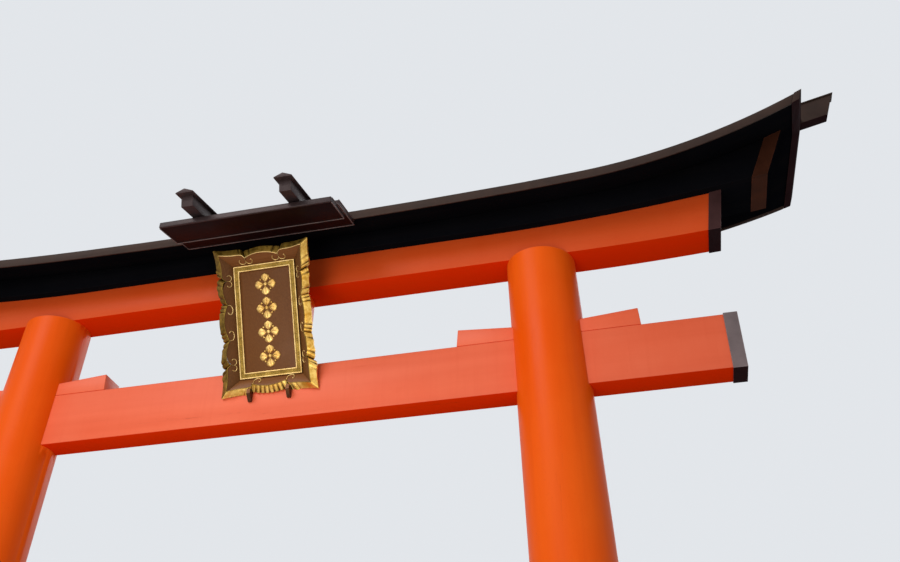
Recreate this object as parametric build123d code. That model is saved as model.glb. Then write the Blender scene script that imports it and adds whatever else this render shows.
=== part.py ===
from build123d import *
from math import cos, hypot, radians, sin, sqrt
import os

# A timber shrine gate with a copper-clad roof, in millimetres.
# X runs along the gate, Y goes from the front to the back, Z is up.
# The shapes are drawn about the middle of the gate and moved at the end,
# so that the origin lies in the middle of the left post's foot.

# Posts
POST_SPAN = 3340            # between the feet, centre to centre
POST_LEAN = 0.036           # each post leans in by this much per unit of height
POST_FOOT_RADIUS = 222
POST_HEAD_RADIUS = 189
COLLAR_HEIGHT = 380         # black collar round each foot
COLLAR_WALL = 6

# Tie beam through the posts
TIE_BOTTOM = 3900
TIE_HEIGHT = 311
TIE_DEPTH = 148
TIE_OVERHANG = 806          # past the posts' feet, centre to end
WEDGE_FACE_HEIGHT = 78      # height of a wedge where it enters the post
WEDGE_SLOPE = 0.078
WEDGE_REACH = 300           # length that stands out of the post
WEDGE_END_SLANT = 0.09
WEDGE_TIP_GAP = 24          # between the two tips inside the post

# Lower lintel, flat over the posts and curving up to its ends
BEAM_GAP = 501              # clear height between the tie beam and this lintel
LINTEL_HEIGHT = 200
LINTEL_DEPTH = 202
LINTEL_OVERHANG = 810       # past the posts' feet, centre to end
LINTEL_END_SLANT = 0.16
LINTEL_UNDER_START = 1720
LINTEL_UNDER_RADIUS = 12800
LINTEL_TOP_START = 1200
LINTEL_TOP_RADIUS = 11170

# Upper lintel, the black core under the roof
CORE_DEPTH = 292
CORE_OVERHANG = 293         # past the lower lintel's ends
CORE_END_SLANT = 0.42

# Metal caps on the beam ends
CAP_SHEET = 4
TIE_CAP_LENGTH = 66
LINTEL_CAP_LENGTH = 61
CORE_CAP_LENGTH = 76

# Roof over the upper lintel
EAVE_LIFT = 8               # underside of the eave at the middle, above the lower lintel's top
EAVE_START = 300
EAVE_FIRST_RADIUS = 29300
EAVE_SECOND_START = 1786
EAVE_SECOND_RADIUS = 3330
EAVE_HALF_DEPTH = 446       # at the roof's ends
EAVE_MIDDLE_HALF_DEPTH = 372
EAVE_PLAN_START = 1400
EAVE_PLAN_RADIUS = 16500
ROOF_SLOPE = 0.33
ROOF_THICKNESS = 50
FASCIA_HEIGHT = 58
FASCIA_THICKNESS = 14
ROOF_OVERHANG = 191         # past the upper lintel's ends
ROOF_END_RISE = 313         # from the eave to the level at which the roof's length is measured
ROOF_END_SLANT = 0.345
VERGE_WIDTH = 36
VERGE_RISE = 5

# Ridge
RIDGE_WIDTH = 60
RIDGE_HEIGHT = 140
RIDGE_COVER = 8
RIDGE_COVER_OVERHANG = 7
RIDGE_END_SLOPE = 0.24
RIDGE_END_LENGTH = 294      # of each straight end
RIDGE_OVERHANG = 230        # past the roof's ends
RIDGE_END_SLANT = 0.38

# Strut between the tie beam and the lower lintel
STRUT_WIDTH = 300
STRUT_DEPTH = 110

# Tablet, leaning forward in front of the strut
TABLET_LEAN = 26.4
TABLET_FORWARD = 35
TABLET_FOOT = 156           # lowest and highest tips, along the lean
TABLET_HEAD = 985
TABLET_HALF = 279
MOULD_FOOT = 253
MOULD_HEAD = 884
MOULD_HALF = 180
MOULD_WIDTH = 32
MOULD_HEIGHT = 12
PANEL_RECESS = 68           # of the panel's face, behind the tablet's reference plane
PANEL_THICKNESS = 8
BOARD_THICKNESS = 14        # of the flared boards, measured across the tablet
BOARD_FLARE = 1             # run across the tablet for each unit of depth
RIM_RECESS = 8
RIM_THICKNESS = 18
RIM_FALL = 14               # of its face, from the crest back to the outer edge
RIM_WIDTH = 36
RIM_CREST = 4               # width of the crest along the inner edge
SIDE_NOTCHES = [0.19, 0.37]     # shares of a side at which its lobes meet
END_NOTCHES = [0.3]
NOTCH_DEPTH = 28
LOBE_SWELL = 18
TIP_HOLLOW = 7
STAY_RADIUS = 8
STAY_HALF = 120
STAY_SHARE = 0.7            # of the strut's height, where the stays leave it
BRACKET_HALF = 112
BRACKET_WIDTH = 20
BRACKET_REACH = 44
BRACKET_LEVEL = 116         # underside, above the tie beam's underside
BRACKET_HEIGHT = 60         # against the beam
BRACKET_FOOT = 12           # depth of the underside
BRACKET_NOSE = 26           # height at the front

# Hood over the tablet
HOOD_HALF = 495
HOOD_FRONT = 676
HOOD_SLOPE = 0.24
HOOD_DROP = 101             # of its front edge's underside, below the eave's
HOOD_SHEET = 30
HOOD_FASCIA = 12
HOOD_FASCIA_HEIGHT = 34
HOOD_LOWER_BACK = 478
HOOD_UPPER_FRONT = 600
HOOD_UPPER_BACK = 332
HOOD_UPPER_HALF = 503
HOOD_BEAM_OFFSET = 279
HOOD_BEAM_WIDTH = 66
HOOD_BEAM_HEIGHT = 66
HOOD_BEAM_FRONT = 798
HOOD_BEAM_BACK = 210
HOOD_BEAM_LIFT = 17         # its underside above the lower sheet's upper face
HOOD_BEAM_SLANT = 0.3
HOOD_CAP_HALF = 51
HOOD_CAP_RISE = 26
HOOD_CAP_EDGE = 6
HOOD_CAP_REACH = 34         # past the beam's front face

FIT = 0.3                   # between pieces that pass through or round each other
FAR = 8000                  # past every face that is cut
TALL = 1200                 # past the height and depth of what is trimmed

TIE_TOP = TIE_BOTTOM + TIE_HEIGHT
TIE_HALF = POST_SPAN / 2 + TIE_OVERHANG
LINTEL_BOTTOM = TIE_TOP + BEAM_GAP
LINTEL_TOP = LINTEL_BOTTOM + LINTEL_HEIGHT
LINTEL_HALF = POST_SPAN / 2 + LINTEL_OVERHANG
EAVE_BOTTOM = LINTEL_TOP + EAVE_LIFT
ROOF_END_LEVEL = EAVE_BOTTOM + ROOF_END_RISE
HOOD_FRONT_LEVEL = EAVE_BOTTOM - HOOD_DROP
CORE_HALF = LINTEL_HALF + CORE_OVERHANG
ROOF_HALF = CORE_HALF + ROOF_OVERHANG
RIDGE_HALF = ROOF_HALF + RIDGE_OVERHANG
RIDGE_END_START = RIDGE_HALF - RIDGE_END_LENGTH
PANEL_FACE = -PANEL_RECESS
RIM_FACE = -RIM_RECESS


def rise(x, start, radius):
    """How far a line that leaves the level at start has curved up at x."""
    reach = max(0, abs(x) - start)
    return radius - sqrt(radius ** 2 - reach ** 2)


def upswept(half, level, start, radius):
    """The line of a beam's top or underside: level, then an arc up to each end."""
    def at(x):
        return (x, level + rise(x, start, radius))
    middle = (start + half) / 2
    left = ThreePointArc(at(-half), at(-middle), at(-start))
    right = ThreePointArc(at(start), at(middle), at(half))
    return [left, Line(at(-start), at(start)), right]


def band(lower, upper):
    """The upright face between two lines that run from left to right."""
    left = Line(lower[0] @ 0, upper[0] @ 0)
    right = Line(lower[-1] @ 1, upper[-1] @ 1)
    return Plane.XZ * make_face(lower + upper + [left, right])


def slab(face, depth):
    """The face made solid, half to the front and half to the back."""
    return extrude(face, depth / 2, both=True)


def between_ends(half, level, slant):
    """All that lies between two end planes that lean outward as they rise."""
    spread = slant * TALL
    corners = [(-half + spread, level - TALL), (half - spread, level - TALL),
               (half + spread, level + TALL), (-half - spread, level + TALL)]
    return slab(Plane.XZ * make_face(Polyline(*corners, close=True)), FAR)


def box(x0, x1, y0, y1, z0, z1):
    """A plain block from its corners."""
    centre = ((x0 + x1) / 2, (y0 + y1) / 2, (z0 + z1) / 2)
    return Pos(*centre) * Box(x1 - x0, y1 - y0, z1 - z0)


def halves(shape):
    """The part of a shape on the left of the gate and the part on the right."""
    return (shape & box(-FAR, 0, -FAR, FAR, -FAR, FAR), shape & box(0, FAR, -FAR, FAR, -FAR, FAR))


# Posts, each one leaning in and tapering, cut level at the foot and the head

def post_x(side, z):
    return side * (POST_SPAN / 2 - POST_LEAN * z)


def post_radius(z):
    return POST_FOOT_RADIUS + (POST_HEAD_RADIUS - POST_FOOT_RADIUS) * z / LINTEL_BOTTOM


def round_timber(side, z0, z1, extra):
    """A length of post, with its radius larger by extra."""
    foot = Plane.XY.offset(z0) * Pos(post_x(side, z0), 0) * Circle(post_radius(z0) + extra)
    head = Plane.XY.offset(z1) * Pos(post_x(side, z1), 0) * Circle(post_radius(z1) + extra)
    return loft([foot, head])


def wedge_outline(side, out, gap):
    """A wedge seen from the front, thin at its tip inside the post and thick outside."""
    axis = post_x(side, TIE_TOP)
    face = sqrt(post_radius(TIE_TOP) ** 2 - (TIE_DEPTH / 2) ** 2)
    tip = WEDGE_TIP_GAP / 2 if gap == 0 else 0
    end = face + WEDGE_REACH

    def top(reach):
        return TIE_TOP + WEDGE_FACE_HEIGHT + WEDGE_SLOPE * (reach - face) + gap
    slant = WEDGE_END_SLANT * WEDGE_FACE_HEIGHT
    corners = [(tip, TIE_TOP), (end + slant, TIE_TOP), (end, top(end)), (tip, top(tip))]
    points = [(axis + out * reach, z) for reach, z in corners]
    return Plane.XZ * make_face(Polyline(*points, close=True))


def wedge(side, out):
    return slab(wedge_outline(side, out, 0), TIE_DEPTH)


def post(side):
    """A post with the slot for the tie beam and its two wedges."""
    timber = round_timber(side, 0, LINTEL_BOTTOM, 0)
    half = TIE_DEPTH / 2 + FIT
    slot = box(-FAR, FAR, -half, half, TIE_BOTTOM - FIT, TIE_TOP + FIT)
    for out in (-1, 1):
        slot += slab(wedge_outline(side, out, FIT), 2 * half)
    return timber - slot


def foot_collar(side):
    outer = round_timber(side, 0, COLLAR_HEIGHT, FIT + COLLAR_WALL)
    return outer - round_timber(side, 0, COLLAR_HEIGHT, FIT)


# Tie beam and its end caps

def tie_beam():
    half = TIE_DEPTH / 2
    return box(-TIE_HALF, TIE_HALF, -half, half, TIE_BOTTOM, TIE_TOP)


def tie_cap(side):
    half = TIE_DEPTH / 2 + CAP_SHEET
    inner = side * (TIE_HALF - TIE_CAP_LENGTH)
    outer = side * (TIE_HALF + CAP_SHEET)
    shoe = box(min(inner, outer), max(inner, outer), -half, half,
               TIE_BOTTOM - CAP_SHEET, TIE_TOP + CAP_SHEET)
    return shoe - tie_beam()


# Lower lintel

def lintel_body(under, depth):
    long = LINTEL_HALF + TALL / 4
    lower = upswept(long, LINTEL_BOTTOM - under, LINTEL_UNDER_START, LINTEL_UNDER_RADIUS)
    upper = upswept(long, LINTEL_TOP, LINTEL_TOP_START, LINTEL_TOP_RADIUS)
    return slab(band(lower, upper), depth)


def lintel_end(extra):
    level = LINTEL_BOTTOM + rise(LINTEL_HALF, LINTEL_UNDER_START, LINTEL_UNDER_RADIUS)
    return between_ends(LINTEL_HALF + extra, level, LINTEL_END_SLANT)


def lower_lintel():
    return lintel_body(0, LINTEL_DEPTH) & lintel_end(0)


def lintel_caps():
    shoe = lintel_body(CAP_SHEET, LINTEL_DEPTH + 2 * CAP_SHEET) & lintel_end(CAP_SHEET)
    return halves(shoe - lintel_end(-LINTEL_CAP_LENGTH) - lower_lintel())


# Roof, whose lines rise along the eaves and whose eaves come forward towards the ends

def eave_rise(x):
    reach = abs(x)
    if reach <= EAVE_SECOND_START:
        return rise(reach, EAVE_START, EAVE_FIRST_RADIUS)
    run = EAVE_SECOND_START - EAVE_START
    side = EAVE_SECOND_RADIUS * run / EAVE_FIRST_RADIUS
    centre_x = EAVE_SECOND_START - side
    height = sqrt(EAVE_SECOND_RADIUS ** 2 - side ** 2)
    climb = height - sqrt(EAVE_SECOND_RADIUS ** 2 - (reach - centre_x) ** 2)
    return rise(EAVE_SECOND_START, EAVE_START, EAVE_FIRST_RADIUS) + climb


def eave_line(level):
    """The roof's line along the gate: level, a faint rise, then the sweep to each end."""
    half = ROOF_HALF + VERGE_WIDTH + ROOF_END_SLANT * TALL / 4
    stops = [EAVE_START, EAVE_SECOND_START, half]

    def at(x):
        return (x, level + eave_rise(x))
    right = [ThreePointArc(at(a), at((a + b) / 2), at(b)) for a, b in zip(stops, stops[1:])]
    left = [ThreePointArc(at(-b), at(-(a + b) / 2), at(-a)) for a, b in zip(stops, stops[1:])]
    return left[::-1] + [Line(at(-EAVE_START), at(EAVE_START))] + right


def roof_layer(low, high):
    """Both slopes of a layer of roof, low and high above the eave's underside."""
    front = EAVE_HALF_DEPTH + VERGE_WIDTH
    drop = ROOF_SLOPE * VERGE_WIDTH
    face = band(eave_line(EAVE_BOTTOM + low - drop), eave_line(EAVE_BOTTOM + high - drop))
    run = hypot(front, ROOF_SLOPE * front)
    slope = extrude(Pos(0, -front, 0) * face, run, dir=(0, 1, ROOF_SLOPE))
    return slope, mirror(slope, Plane.XZ)


def within_eaves(inset):
    """The roof's plan, straight in the middle and deeper towards the ends."""
    half = ROOF_HALF + TALL / 4
    front = upswept(half, EAVE_MIDDLE_HALF_DEPTH - inset, EAVE_PLAN_START, EAVE_PLAN_RADIUS)
    back = [mirror(edge, Plane.XZ) for edge in front]
    sides = [Line(front[0] @ 0, back[0] @ 0), Line(front[-1] @ 1, back[-1] @ 1)]
    plan = make_face(front + back + sides)
    return Pos(0, 0, EAVE_BOTTOM) * extrude(plan, TALL, both=True)


def roof_end(inset):
    return between_ends(ROOF_HALF - inset, ROOF_END_LEVEL, ROOF_END_SLANT)


def roof_slopes():
    front, back = roof_layer(FASCIA_HEIGHT - ROOF_THICKNESS, FASCIA_HEIGHT)
    keep = within_eaves(FASCIA_THICKNESS) & roof_end(VERGE_WIDTH)
    return front & keep, back & keep


def eave_fascias():
    front, back = roof_layer(0, FASCIA_HEIGHT)
    keep = (within_eaves(0) & roof_end(VERGE_WIDTH)) - within_eaves(FASCIA_THICKNESS)
    return front & keep, back & keep


def verges():
    """The bent boards that close the roof's two ends."""
    front, back = roof_layer(0, FASCIA_HEIGHT + VERGE_RISE)
    board = ((front + back) & within_eaves(0) & roof_end(0)) - roof_end(VERGE_WIDTH)
    return halves(board)


def under_roof(shape):
    """What is left of a shape below the roof's underside."""
    front, back = roof_layer(FASCIA_HEIGHT - ROOF_THICKNESS - FIT, TALL / 2)
    return shape - front - back


def above_roof(shape):
    """What is left of a shape above the roof's upper face."""
    front, back = roof_layer(-TALL / 4, FASCIA_HEIGHT)
    return shape - front - back


# Upper lintel

def core_body(under, depth):
    half = CORE_HALF + TALL / 4
    lower = upswept(half, LINTEL_TOP - under, LINTEL_TOP_START, LINTEL_TOP_RADIUS)
    upper = upswept(half, LINTEL_TOP + TALL / 3, LINTEL_TOP_START, LINTEL_TOP_RADIUS)
    return under_roof(slab(band(lower, upper), depth))


def core_end(extra):
    level = LINTEL_TOP + rise(CORE_HALF, LINTEL_TOP_START, LINTEL_TOP_RADIUS)
    return between_ends(CORE_HALF + extra, level, CORE_END_SLANT)


def upper_lintel():
    return core_body(0, CORE_DEPTH) & core_end(0)


def core_caps():
    shoe = core_body(CAP_SHEET, CORE_DEPTH + 2 * CAP_SHEET) & core_end(CAP_SHEET)
    return halves(shoe - core_end(-CORE_CAP_LENGTH) - upper_lintel())


# Ridge: a tall box along the roof, with straight ends that stand out past the verges

def ridge_level(x):
    return EAVE_BOTTOM + eave_rise(x) + FASCIA_HEIGHT + ROOF_SLOPE * EAVE_HALF_DEPTH


def ridge_line(lift):
    """The ridge's line between its two straight ends."""
    stops = [EAVE_START, EAVE_SECOND_START, RIDGE_END_START]

    def at(x):
        return (x, ridge_level(x) + lift)
    right = [ThreePointArc(at(a), at((a + b) / 2), at(b)) for a, b in zip(stops, stops[1:])]
    left = [ThreePointArc(at(-b), at(-(a + b) / 2), at(-a)) for a, b in zip(stops, stops[1:])]
    return left[::-1] + [Line(at(-EAVE_START), at(EAVE_START))] + right


def ridge_end_outline(low, high, extra):
    """One straight end of the ridge, from the front, on the right."""
    start = ridge_level(RIDGE_END_START)

    def at(x, lift):
        return (x, start + RIDGE_END_SLOPE * (x - RIDGE_END_START) + lift)
    foot = RIDGE_HALF + extra + RIDGE_END_SLANT * low
    head = RIDGE_HALF + extra + RIDGE_END_SLANT * high
    corners = [at(RIDGE_END_START, low), at(foot, low), at(head, high), at(RIDGE_END_START, high)]
    return Plane.XZ * make_face(Polyline(*corners, close=True))


def ridge_box():
    bed = ROOF_SLOPE * RIDGE_WIDTH
    face = band(ridge_line(-bed), ridge_line(RIDGE_HEIGHT))
    return above_roof(slab(face, RIDGE_WIDTH))


def ridge_ends():
    """The straight ends, cut to sit on the verges and left whole beyond them."""
    front, back = roof_layer(-TALL / 4, FASCIA_HEIGHT + VERGE_RISE)
    seat = (front + back) & roof_end(-FIT)
    right = slab(ridge_end_outline(0, RIDGE_HEIGHT, 0), RIDGE_WIDTH) - seat
    return mirror(right, Plane.YZ), right


def ridge_cover():
    """The thin strip that lies on the ridge from end to end."""
    width = RIDGE_WIDTH + 2 * RIDGE_COVER_OVERHANG
    top = RIDGE_HEIGHT + RIDGE_COVER
    strip = slab(band(ridge_line(RIDGE_HEIGHT), ridge_line(top)), width)
    right = slab(ridge_end_outline(RIDGE_HEIGHT, top, RIDGE_COVER_OVERHANG), width)
    return strip + right + mirror(right, Plane.YZ)


# Strut behind the tablet

def centre_strut():
    return box(-STRUT_WIDTH / 2, STRUT_WIDTH / 2, -STRUT_DEPTH / 2, STRUT_DEPTH / 2,
               TIE_TOP, LINTEL_BOTTOM)


# Tablet, drawn lying flat: x across, y up the board, z out of its face

LEAN = radians(TABLET_LEAN)
TABLET_PLANE = Plane(origin=(0, -TABLET_FORWARD, TIE_BOTTOM), x_dir=(1, 0, 0),
                     z_dir=(0, -cos(LEAN), -sin(LEAN)))


def on_tablet(shape):
    return TABLET_PLANE * shape


def side_lobes(start, end, notches):
    """One edge of the frame as arcs that meet in notches, from one tip to the other."""
    along = Vector(*end) - Vector(*start)
    inward = Vector(-along.Y, along.X).normalized()

    def at(share, inset):
        return Vector(*start) + along * share + inward * inset
    shares = [0] + notches + [1 - share for share in notches[::-1]] + [1]
    points = [at(share, NOTCH_DEPTH if 0 < share < 1 else 0) for share in shares]
    edges = []
    for number, (first, second) in enumerate(zip(points, points[1:])):
        outer = number in (0, len(points) - 2)
        swell = -TIP_HOLLOW if outer else LOBE_SWELL
        middle = (first + second) / 2 - inward * swell
        edges.append(ThreePointArc(first, middle, second))
    return edges


def frame_outline(inset):
    """The frame's cloud-like outline, with a pointed tip at each corner."""
    half = TABLET_HALF - inset
    foot = TABLET_FOOT + inset
    head = TABLET_HEAD - inset
    corners = [(half, foot), (half, head), (-half, head), (-half, foot)]
    edges = side_lobes(corners[0], corners[1], SIDE_NOTCHES)
    edges += side_lobes(corners[1], corners[2], END_NOTCHES)
    edges += side_lobes(corners[2], corners[3], SIDE_NOTCHES)
    edges += side_lobes(corners[3], corners[0], END_NOTCHES)
    return make_face(edges)


def tablet_panel():
    height = MOULD_HEAD - MOULD_FOOT
    middle = (MOULD_HEAD + MOULD_FOOT) / 2
    board = Box(2 * MOULD_HALF, height, PANEL_THICKNESS)
    return on_tablet(Pos(0, middle, PANEL_FACE - PANEL_THICKNESS / 2) * board)


def tablet_moulding():
    height = MOULD_HEAD - MOULD_FOOT
    middle = (MOULD_HEAD + MOULD_FOOT) / 2
    ring = Rectangle(2 * MOULD_HALF, height)
    ring -= Rectangle(2 * (MOULD_HALF - MOULD_WIDTH), height - 2 * MOULD_WIDTH)
    return on_tablet(Pos(0, middle, PANEL_FACE) * extrude(ring, MOULD_HEIGHT))


def tablet_rim():
    """A ring whose face falls back from a narrow crest to the cloud-like outer edge."""
    back = RIM_FACE - RIM_THICKNESS
    edge = RIM_FACE - RIM_FALL
    outline = frame_outline(0)
    base = Pos(0, 0, back) * extrude(outline, RIM_THICKNESS - RIM_FALL)
    crest = Pos(0, 0, RIM_FACE) * frame_outline(RIM_WIDTH - RIM_CREST)
    face = loft([Pos(0, 0, edge) * outline, crest], ruled=True)
    hole = Pos(0, 0, back) * extrude(frame_outline(RIM_WIDTH), RIM_THICKNESS)
    return on_tablet(base + face - hole)


def dish(grow):
    """A mitred solid that widens from the panel's back up to the rim's face."""
    middle = (MOULD_HEAD + MOULD_FOOT) / 2
    height = MOULD_HEAD - MOULD_FOOT
    back = PANEL_FACE - PANEL_THICKNESS
    small = grow - BOARD_FLARE * PANEL_THICKNESS
    large = grow + BOARD_FLARE * (RIM_FACE - PANEL_FACE)
    near = Pos(0, middle, back) * Rectangle(2 * (MOULD_HALF + small), height + 2 * small)
    far = Pos(0, middle, RIM_FACE) * Rectangle(2 * (MOULD_HALF + large), height + 2 * large)
    return loft([near, far])


def flared_frame():
    """The sloping boards between the panel and the rim, all four in one."""
    middle = (MOULD_HEAD + MOULD_FOOT) / 2
    panel = Pos(0, middle, 0) * Box(2 * (MOULD_HALF + FIT), MOULD_HEAD - MOULD_FOOT + 2 * FIT, TALL)
    reach = Pos(0, 0, -TALL / 2) * extrude(frame_outline(RIM_WIDTH + FIT), TALL)
    return (dish(BOARD_THICKNESS) - dish(0) - panel) & reach


def frame_boards():
    """The four flared boards, mitred at the corners: top, bottom, left, right."""
    frame = flared_frame()
    middle = (MOULD_HEAD + MOULD_FOOT) / 2
    corner_x = MOULD_HALF
    corner_y = (MOULD_HEAD - MOULD_FOOT) / 2
    wide = TALL / 2
    boards = []
    for turn in ("top", "bottom", "left", "right"):
        sign = 1 if turn in ("top", "right") else -1
        if turn in ("top", "bottom"):
            near = sign * corner_y
            far = near + sign * wide
            points = [(-corner_x, near), (corner_x, near), (corner_x + wide, far),
                      (-corner_x - wide, far)]
        else:
            near = sign * corner_x
            far = near + sign * wide
            points = [(near, -corner_y), (far, -corner_y - wide), (far, corner_y + wide),
                      (near, corner_y)]
        sector = make_face(Polyline(*points, close=True))
        sector = Pos(0, middle, PANEL_FACE - TALL / 2) * extrude(sector, TALL)
        boards.append(on_tablet(frame & sector))
    return boards


def tablet_bracket(side):
    """An iron gusset on the tie beam's face, with a lip, cut to a notch of the tablet's foot."""
    near = TIE_DEPTH / 2
    far = near + BRACKET_REACH
    low = TIE_BOTTOM + BRACKET_LEVEL
    top = low + BRACKET_HEIGHT
    corners = [(near, low), (near + BRACKET_FOOT, low), (far, top - BRACKET_NOSE), (far, top),
               (near, top)]
    gusset = Pos(side * BRACKET_HALF, 0, 0) * side_prism(corners, BRACKET_WIDTH / 2)
    seat = extrude(frame_outline(-FIT), TALL)
    return gusset - on_tablet(Pos(0, 0, RIM_FACE + FIT - TALL) * seat)


def tablet_stay(side):
    """A rod from the strut's face to the back of the tablet's panel."""
    start = (side * STAY_HALF, -STRUT_DEPTH / 2, TIE_TOP + STAY_SHARE * BEAM_GAP)
    rod = Plane(origin=start, z_dir=(0, -1, 0)) * extrude(Circle(STAY_RADIUS), TALL)
    back = PANEL_FACE - PANEL_THICKNESS
    return rod & on_tablet(Pos(0, 0, back - TALL) * Box(TALL, 4 * TALL, 2 * TALL))


# Hood over the tablet: two lapped sheets and two short ridge beams

def hood_level(y):
    """The underside of the hood's lower sheet, y being how far it is in front."""
    return HOOD_FRONT_LEVEL + HOOD_SLOPE * (HOOD_FRONT - y)


def side_prism(corners, half):
    """A solid whose outline is seen from the side, as wide as twice half."""
    points = [(-y, z) for y, z in corners]
    return slab(Plane.YZ * make_face(Polyline(*points, close=True)), 2 * half)


def hood_sheet(half, front, back, lift):
    low = [(front, hood_level(front) + lift), (back, hood_level(back) + lift)]
    high = [(y, z + HOOD_SHEET) for y, z in low[::-1]]
    return side_prism(low + high, half)


def roof_mass(low):
    """All that lies within the eaves, from low below the fascia to the roof's upper face."""
    front, back = roof_layer(-low, FASCIA_HEIGHT)
    return (front + back) & within_eaves(-FIT)


def hood_lower():
    return hood_sheet(HOOD_HALF, HOOD_FRONT, HOOD_LOWER_BACK, 0)


def hood_upper():
    """The upper sheet, lapped over the lower one and shaved where it passes under the eave."""
    sheet = hood_sheet(HOOD_UPPER_HALF, HOOD_UPPER_FRONT, HOOD_UPPER_BACK, HOOD_SHEET)
    return sheet - roof_mass(FIT)


def hood_fascia():
    low = hood_level(HOOD_FRONT) - (HOOD_FASCIA_HEIGHT - HOOD_SHEET) / 2
    return box(-HOOD_HALF, HOOD_HALF, -HOOD_FRONT - HOOD_FASCIA, -HOOD_FRONT,
               low, low + HOOD_FASCIA_HEIGHT)


def laid_on_hood(outline, front):
    """A length laid along the hood's slope, with its front end leaning forward."""
    start = front + TALL / 4
    run = start - HOOD_BEAM_BACK
    base = hood_level(start) + HOOD_SHEET + HOOD_BEAM_LIFT
    face = Pos(0, -start, base) * (Plane.XZ * outline)
    length = extrude(face, hypot(run, HOOD_SLOPE * run), dir=(0, 1, HOOD_SLOPE))
    foot = hood_level(front) + HOOD_SHEET + HOOD_BEAM_LIFT
    lean = HOOD_BEAM_SLANT * TALL / 2
    corners = [(front - lean, foot - TALL / 2), (front + lean, foot + TALL / 2),
               (0, foot + TALL / 2), (0, foot - TALL / 2)]
    return length & side_prism(corners, TALL)


def hood_beam(side):
    outline = Pos(0, HOOD_BEAM_HEIGHT / 2) * Rectangle(HOOD_BEAM_WIDTH, HOOD_BEAM_HEIGHT)
    beam = laid_on_hood(outline, HOOD_BEAM_FRONT)
    return Pos(side * HOOD_BEAM_OFFSET, 0, 0) * beam - hood_upper() - roof_mass(TALL / 4)


def hood_beam_cap(side):
    """The small gabled cover of a ridge beam."""
    half = HOOD_CAP_HALF
    corners = [(-half, 0), (half, 0), (half, HOOD_CAP_EDGE), (0, HOOD_CAP_RISE),
               (-half, HOOD_CAP_EDGE)]
    outline = Pos(0, HOOD_BEAM_HEIGHT) * make_face(Polyline(*corners, close=True))
    cap = laid_on_hood(outline, HOOD_BEAM_FRONT + HOOD_CAP_REACH)
    return Pos(side * HOOD_BEAM_OFFSET, 0, 0) * cap - roof_mass(TALL / 4)


# All the pieces by name

def both_sides(name, pair):
    return {name + "_left": pair[0], name + "_right": pair[1]}


def gate():
    pieces = {
        "tie_beam": tie_beam(),
        "lower_lintel": lower_lintel(),
        "upper_lintel": upper_lintel(),
        "ridge_box": ridge_box(),
        "ridge_cover": ridge_cover(),
        "centre_strut": centre_strut(),
        "tablet_panel": tablet_panel(),
        "tablet_moulding": tablet_moulding(),
        "tablet_rim": tablet_rim(),
        "hood_lower_sheet": hood_lower(),
        "hood_upper_sheet": hood_upper(),
        "hood_fascia": hood_fascia(),
    }
    for name, make in (("post", post), ("foot_collar", foot_collar), ("tie_cap", tie_cap),
                       ("hood_beam", hood_beam), ("hood_beam_cap", hood_beam_cap)):
        pieces.update(both_sides(name, (make(-1), make(1))))
    pieces["tablet_brackets"] = tablet_bracket(-1) + tablet_bracket(1)
    pieces["tablet_stays"] = tablet_stay(-1) + tablet_stay(1)
    pieces.update(both_sides("lower_lintel_cap", lintel_caps()))
    pieces.update(both_sides("upper_lintel_cap", core_caps()))
    pieces.update(both_sides("verge", verges()))
    pieces.update(both_sides("ridge_end", ridge_ends()))
    for side, name in ((-1, "left"), (1, "right")):
        pieces[name + "_post_outer_wedge"] = wedge(side, side)
        pieces[name + "_post_inner_wedge"] = wedge(side, -side)
    for name, roof, fascia in zip(("front", "back"), roof_slopes(), eave_fascias()):
        pieces["roof_" + name] = roof
        pieces["eave_fascia_" + name] = fascia
    for name, board in zip(("top", "bottom", "left", "right"), frame_boards()):
        pieces["tablet_board_" + name] = board
    return pieces


os.makedirs("parts", exist_ok=True)
for name, piece in gate().items():
    placed = Pos(POST_SPAN / 2, 0, 0) * piece
    export_step(placed, "parts/" + name + ".step")
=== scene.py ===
# %% [markdown]
# A timber shrine gate, dressed for a close look.
# The solids come ready made and in place. This lesson gives them eased edges,
# lacquer, copper and gilding, and models the carved ornament of the tablet.

# %% Load the solids
import math

import bpy
from mathutils import Matrix, Vector


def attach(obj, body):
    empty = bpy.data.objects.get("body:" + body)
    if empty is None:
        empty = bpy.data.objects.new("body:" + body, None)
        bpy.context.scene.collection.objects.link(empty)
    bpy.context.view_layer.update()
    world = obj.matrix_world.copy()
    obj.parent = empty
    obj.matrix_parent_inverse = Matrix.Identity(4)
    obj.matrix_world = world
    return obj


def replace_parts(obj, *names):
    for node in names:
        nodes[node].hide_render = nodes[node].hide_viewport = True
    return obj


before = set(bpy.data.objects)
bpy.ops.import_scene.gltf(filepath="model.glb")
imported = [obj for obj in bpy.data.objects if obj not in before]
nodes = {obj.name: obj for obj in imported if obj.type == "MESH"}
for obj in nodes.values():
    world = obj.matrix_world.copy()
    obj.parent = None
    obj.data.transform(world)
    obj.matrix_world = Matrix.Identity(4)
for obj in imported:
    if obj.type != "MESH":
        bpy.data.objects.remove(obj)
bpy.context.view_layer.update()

MIDDLE_X = 1.67  # halfway between the posts

# %% [markdown]
# The camera comes first, so that every later step can be looked at from the place
# that matters. It stands at eye level, close to the gate, and looks steeply up.

# %% The camera
CAMERA_PLACE = (3.6662, -4.2811, 1.5385)
CAMERA_TURN = math.radians(13.357)  # to the left of straight ahead
CAMERA_TILT = math.radians(35.692)  # upwards
CAMERA_ROLL = math.radians(-0.168)
LENS_MM, SENSOR_MM = 38.17, 36.0


def placed(name, data):
    """A new object that holds the data, in the scene."""
    thing = bpy.data.objects.new(name, data)
    bpy.context.scene.collection.objects.link(thing)
    return thing


def turn(angle, axis):
    """A turn about one axis, as a 3 by 3 matrix."""
    return Matrix.Rotation(angle, 3, axis)


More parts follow.
